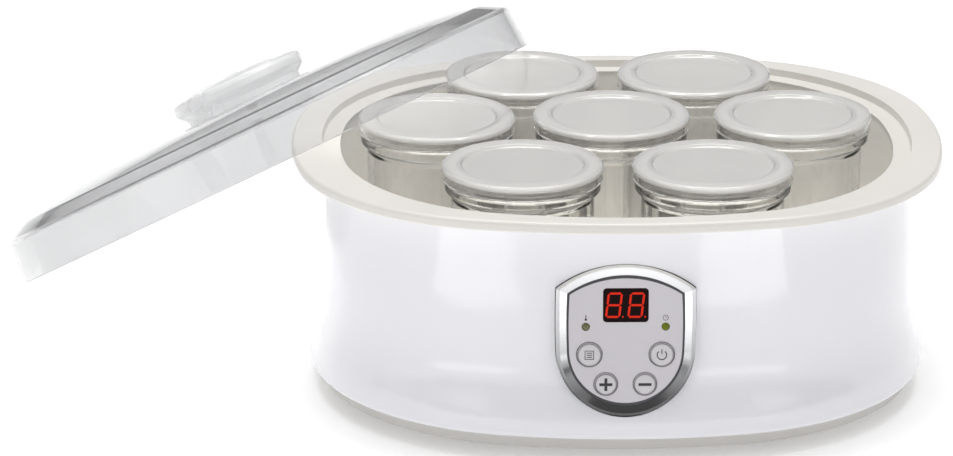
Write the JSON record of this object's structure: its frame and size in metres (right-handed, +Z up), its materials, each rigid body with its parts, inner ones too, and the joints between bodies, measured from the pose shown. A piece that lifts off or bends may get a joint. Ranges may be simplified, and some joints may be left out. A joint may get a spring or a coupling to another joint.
{
  "type": "yogurt maker",
  "caption": "Oval electric yogurt maker with lidded glass jars in a heated tub, a push-button control panel and a clear cover leaning on its rim.",
  "frame": {"origin": "middle of the surface that the four feet stand on, below the centre of the tub", "axes": "+X to the right seen from the front, along the length of the oval; +Y to the back; +Z up; the control panel faces -Y"},
  "size_m": [0.41, 0.3223, 0.1446],
  "materials": {
    "casing_white": "high gloss white moulding",
    "tub_white": "warm white, semi-gloss",
    "base_grey": "pale grey, satin",
    "foot_rubber": "soft pale grey",
    "screw_steel": "zinc plated",
    "plate_aluminium": "rolled sheet",
    "heater_silicone": "red-brown silicone over a resistance wire",
    "sensor_epoxy": "epoxy bead",
    "clip_steel": "bent spring strip",
    "fuse_case": "lacquered can",
    "circuit_board": "green solder mask",
    "relay_case": "blue moulded case",
    "capacitor_case": "yellow moulded box",
    "terminal_green": "green moulded block",
    "lead_insulation": "glass-sleeved wire, off-white",
    "ribbon_grey": "flat grey cable",
    "gland_white": "soft white bush",
    "bezel_chrome": "bright plated moulding",
    "fascia_grey": "pale silver-grey, fine satin",
    "display_black": "smoked window",
    "display_case": "black moulded block",
    "led_amber": "unlit indicator lens",
    "led_green": "lit indicator lens",
    "switch_black": "moulded switch",
    "button_grey": "satin",
    "jar_glass": "clear pressed glass",
    "jar_lid_plastic": "translucent press-on lid",
    "cover_clear": "clear polystyrene",
    "knob_frosted": "frosted clear"
  },
  "bodies": {
    "housing": {"outer_casing": "casing_white", "inner_tub": "tub_white", "base_cover": "base_grey", "foot_front_left": "foot_rubber", "foot_front_right": "foot_rubber", "foot_rear_left": "foot_rubber", "foot_rear_right": "foot_rubber", "base_screws": "screw_steel", "heating_plate": "plate_aluminium", "heater_element": "heater_silicone", "thermistor": "sensor_epoxy", "sensor_clip": "clip_steel", "thermal_fuse": "fuse_case", "power_board": "circuit_board", "relay": "relay_case", "filter_capacitor": "capacitor_case", "terminal_block": "terminal_green", "power_board_screws": "screw_steel", "heater_leads": "lead_insulation", "ribbon_cable": "ribbon_grey", "cord_gland": "gland_white", "panel_bezel": "bezel_chrome", "panel_fascia": "fascia_grey", "display_window": "display_black", "display_module": "display_case", "temp_led": "led_amber", "time_led": "led_green", "control_board": "circuit_board", "control_board_screws": "screw_steel", "key_switches": "switch_black"},
    "cover": {"cover_shell": "cover_clear", "cover_knob": "knob_frosted", "knob_screw": "screw_steel"},
    "jar_1": {"jar_1": "jar_glass"},
    "jar_lid_1": {"jar_lid_1": "jar_lid_plastic"},
    "jar_2": {"jar_2": "jar_glass"},
    "jar_lid_2": {"jar_lid_2": "jar_lid_plastic"},
    "jar_3": {"jar_3": "jar_glass"},
    "jar_lid_3": {"jar_lid_3": "jar_lid_plastic"},
    "jar_4": {"jar_4": "jar_glass"},
    "jar_lid_4": {"jar_lid_4": "jar_lid_plastic"},
    "jar_5": {"jar_5": "jar_glass"},
    "jar_lid_5": {"jar_lid_5": "jar_lid_plastic"},
    "jar_6": {"jar_6": "jar_glass"},
    "jar_lid_6": {"jar_lid_6": "jar_lid_plastic"},
    "jar_7": {"jar_7": "jar_glass"},
    "jar_lid_7": {"jar_lid_7": "jar_lid_plastic"},
    "function_button": {"function_button": "button_grey"},
    "start_button": {"start_button": "button_grey"},
    "plus_button": {"plus_button": "button_grey"},
    "minus_button": {"minus_button": "button_grey"}
  },
  "joints": [
    {"name": "cover_lift", "type": "slide", "parent": "housing", "child": "cover", "axis": [-0.4264, 0.2643, 0.865], "range_m": [0, 0.12]},
    {"name": "jar_lift_1", "type": "slide", "parent": "housing", "child": "jar_1", "axis": [0, 0, 1], "range_m": [0, 0.09]},
    {"name": "lid_lift_1", "type": "slide", "parent": "jar_1", "child": "jar_lid_1", "axis": [0, 0, 1], "range_m": [0, 0.012]},
    {"name": "jar_lift_2", "type": "slide", "parent": "housing", "child": "jar_2", "axis": [0, 0, 1], "range_m": [0, 0.09]},
    {"name": "lid_lift_2", "type": "slide", "parent": "jar_2", "child": "jar_lid_2", "axis": [0, 0, 1], "range_m": [0, 0.012]},
    {"name": "jar_lift_3", "type": "slide", "parent": "housing", "child": "jar_3", "axis": [0, 0, 1], "range_m": [0, 0.003]},
    {"name": "lid_lift_3", "type": "slide", "parent": "jar_3", "child": "jar_lid_3", "axis": [0, 0, 1], "range_m": [0, 0.0015]},
    {"name": "jar_lift_4", "type": "slide", "parent": "housing", "child": "jar_4", "axis": [0, 0, 1], "range_m": [0, 0.09]},
    {"name": "lid_lift_4", "type": "slide", "parent": "jar_4", "child": "jar_lid_4", "axis": [0, 0, 1], "range_m": [0, 0.012]},
    {"name": "jar_lift_5", "type": "slide", "parent": "housing", "child": "jar_5", "axis": [0, 0, 1], "range_m": [0, 0.09]},
    {"name": "lid_lift_5", "type": "slide", "parent": "jar_5", "child": "jar_lid_5", "axis": [0, 0, 1], "range_m": [0, 0.012]},
    {"name": "jar_lift_6", "type": "slide", "parent": "housing", "child": "jar_6", "axis": [0, 0, 1], "range_m": [0, 0.0002]},
    {"name": "lid_lift_6", "type": "slide", "parent": "jar_6", "child": "jar_lid_6", "axis": [0, 0, 1], "range_m": [0, 0.0001]},
    {"name": "jar_lift_7", "type": "slide", "parent": "housing", "child": "jar_7", "axis": [0, 0, 1], "range_m": [0, 0.09]},
    {"name": "lid_lift_7", "type": "slide", "parent": "jar_7", "child": "jar_lid_7", "axis": [0, 0, 1], "range_m": [0, 0.012]},
    {"name": "function_press", "type": "slide", "parent": "housing", "child": "function_button", "axis": [0, 0.9972, -0.075], "range_m": [0, 0.0006], "stiffness_N_per_m": 600},
    {"name": "start_press", "type": "slide", "parent": "housing", "child": "start_button", "axis": [0, 0.9972, -0.075], "range_m": [0, 0.0006], "stiffness_N_per_m": 600},
    {"name": "plus_press", "type": "slide", "parent": "housing", "child": "plus_button", "axis": [0, 0.9972, -0.075], "range_m": [0, 0.0006], "stiffness_N_per_m": 600},
    {"name": "minus_press", "type": "slide", "parent": "housing", "child": "minus_button", "axis": [0, 0.9972, -0.075], "range_m": [0, 0.0006], "stiffness_N_per_m": 600}
  ]
}
